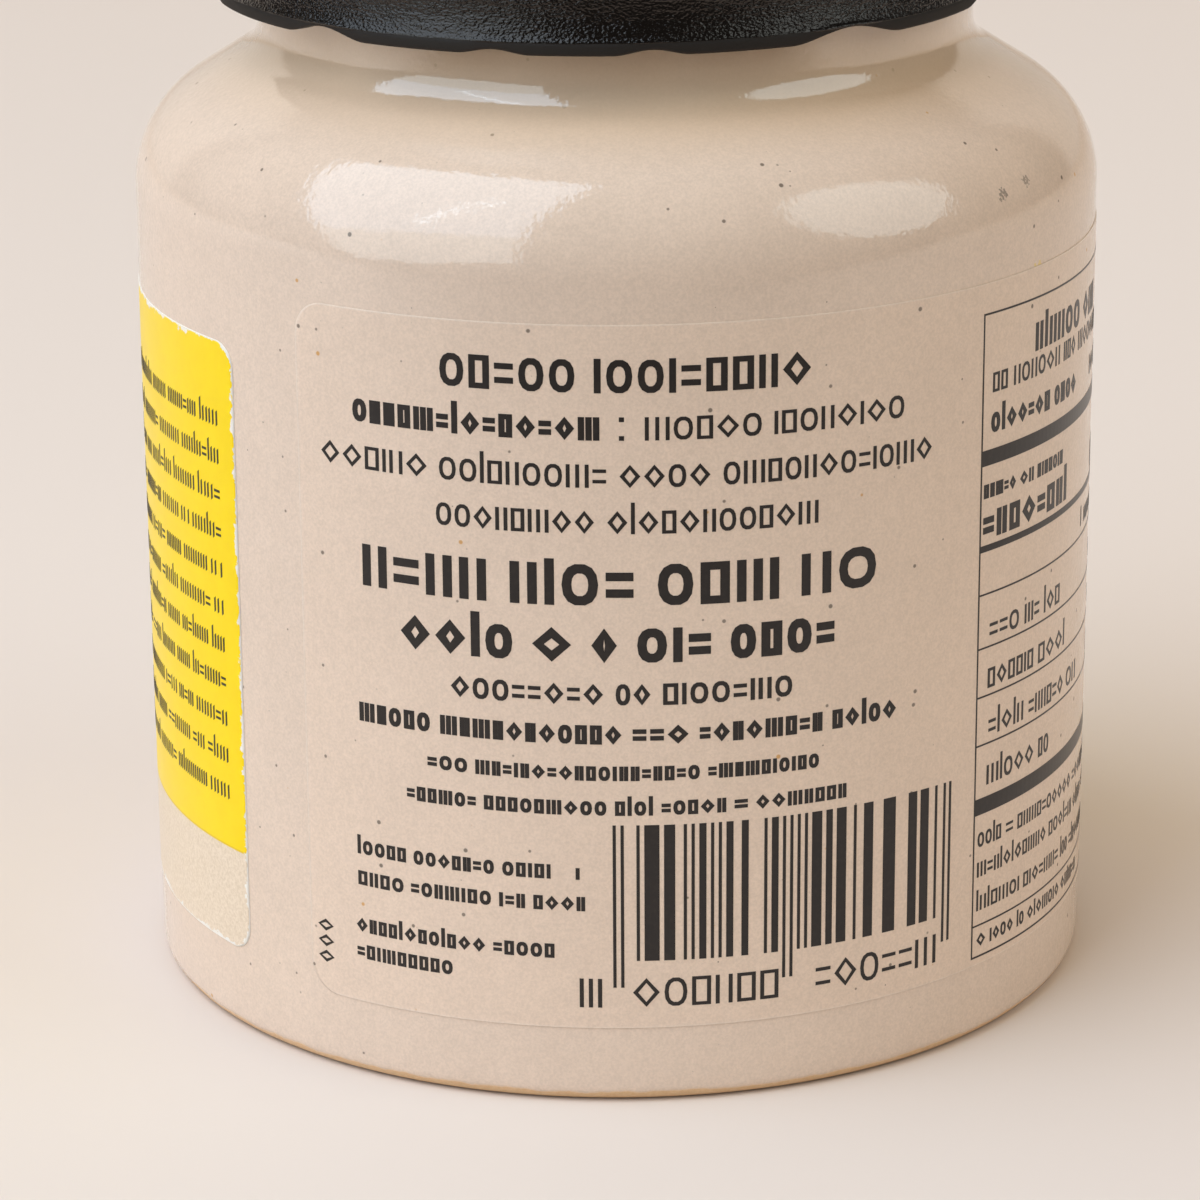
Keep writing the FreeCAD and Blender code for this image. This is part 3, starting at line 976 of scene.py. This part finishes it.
def softbox(name, aim, across, offset, width, height, glow, shape="RECTANGLE", reach=LAMP_REACH):
    """A soft light as bright as glow, a red, green and blue radiance.

    It lies in a plane reach metres from the jar that faces it along aim. offset moves it in that
    plane, along across and up. offset, width and height are shares of the plane's distance.
    """
    back = Vector(aim).normalized()
    side = Vector(across)
    side = (side - side.dot(back) * back).normalized()
    up = back.cross(side)
    middle = HEART + reach * (back + offset[0] * side + offset[1] * up)
    data = bpy.data.lights.new(name, "AREA")
    data.shape = shape
    data.size = width * reach
    data.size_y = height * reach
    area = data.size * data.size_y * (math.pi / 4 if shape == "ELLIPSE" else 1)
    data.energy = math.pi * area * max(glow)
    data.color = [share / max(glow) for share in glow]
    lamp = bpy.data.objects.new(name, data)
    bpy.context.scene.collection.objects.link(lamp)
    lamp.matrix_world = Matrix.Translation(middle) @ Matrix((side, up, back)).transposed().to_4x4()


def make_light():
    """A tall soft light on the left, brighter above, a round one on the right and a dim surround.

    The surround's light differs to left and right, front and back and overhead. What it
    shows in reflections is a dark front and a pale wall behind.
    """
    left = (-0.668, -0.417, 0.616)
    left_level = (0.683, -0.663, 0.29)
    softbox("left softbox", left, left_level, (0.035, 0.275), 0.97, 1.15, (1.60, 2.04, 2.53))
    softbox("left softbox foot", left, left_level, (0.035, -0.59), 0.97, 0.58, (1.21, 1.43, 1.54))
    leaning = (0.577, 0.225, 0.778)
    softbox("left strip", left, leaning, (0.138, -0.107), 0.55, 0.03, (2.5, 3.0, 3.4), reach=1.18)
    right = (0.809, -0.310, 0.5)
    right_level = (0.36, 0.93, 0.0)
    right_glow = (1.32, 1.54, 1.60)
    softbox("right softbox", right, right_level, (0.0, 0.03), 0.72, 0.82, right_glow, "ELLIPSE")
    world = bpy.data.worlds.new("surround")
    world.use_nodes = True
    tree = world.node_tree
    aim = add(tree, "ShaderNodeTexCoord").outputs["Generated"]
    parts = add(tree, "ShaderNodeSeparateXYZ", {0: aim}).outputs
    to_left = fade(tree, parts[0], -0.15, 0.15, 1.0, 0.0)
    to_front = fade(tree, parts[1], -0.15, 0.15, 1.0, 0.0)
    overhead = fade(tree, parts[2], 0.6, 0.8)
    low_back = blend(tree, to_left, (0.66, 0.51, 0.38, 1.0), (1.04, 0.88, 0.68, 1.0))
    low = blend(tree, to_front, low_back, (0.18, 0.14, 0.10, 1.0))
    high_back = blend(tree, to_left, (0.27, 0.22, 0.20, 1.0), (0.40, 0.48, 0.55, 1.0))
    high_front = blend(tree, to_left, (0.78, 0.58, 0.24, 1.0), (2.25, 1.98, 1.72, 1.0))
    high = blend(tree, to_front, high_back, high_front)
    rays = add(tree, "ShaderNodeLightPath").outputs
    shift = calc(tree, "MULTIPLY", calc(tree, "MAXIMUM", parts[0], 0.0), 0.12)
    behind = fade(tree, calc(tree, "SUBTRACT", parts[1], shift), 0.60, 0.68)
    mirrored = blend(tree, behind, (0.12, 0.11, 0.10, 1.0), (0.60, 0.54, 0.48, 1.0))
    colour = blend(tree, rays["Is Glossy Ray"], blend(tree, overhead, low, high), mirrored)
    colour = blend(tree, rays["Is Camera Ray"], colour, rgb(232, 222, 211))
    tree.links.new(colour, tree.nodes["Background"].inputs["Color"])
    bpy.context.scene.world = world


def make_camera():
    """A long lens, level with the top of the jar and looking down on its front."""
    data = bpy.data.cameras.new("camera")
    data.lens = 135.66
    data.sensor_width = 36.0
    data.clip_start = 0.01
    camera = bpy.data.objects.new("camera", data)
    bpy.context.scene.collection.objects.link(camera)
    turned = Matrix.Rotation(math.radians(-0.093), 4, "Z")
    tipped = Matrix.Rotation(math.radians(90 - 18.078), 4, "X")
    rolled = Matrix.Rotation(math.radians(-0.371), 4, "Z")
    camera.matrix_world = Matrix.Translation((-0.001765, -0.301, 0.122)) @ turned @ tipped @ rolled
    bpy.context.scene.camera = camera
    bpy.context.scene.view_settings.view_transform = "Standard"


make_floor()
make_light()
make_camera()
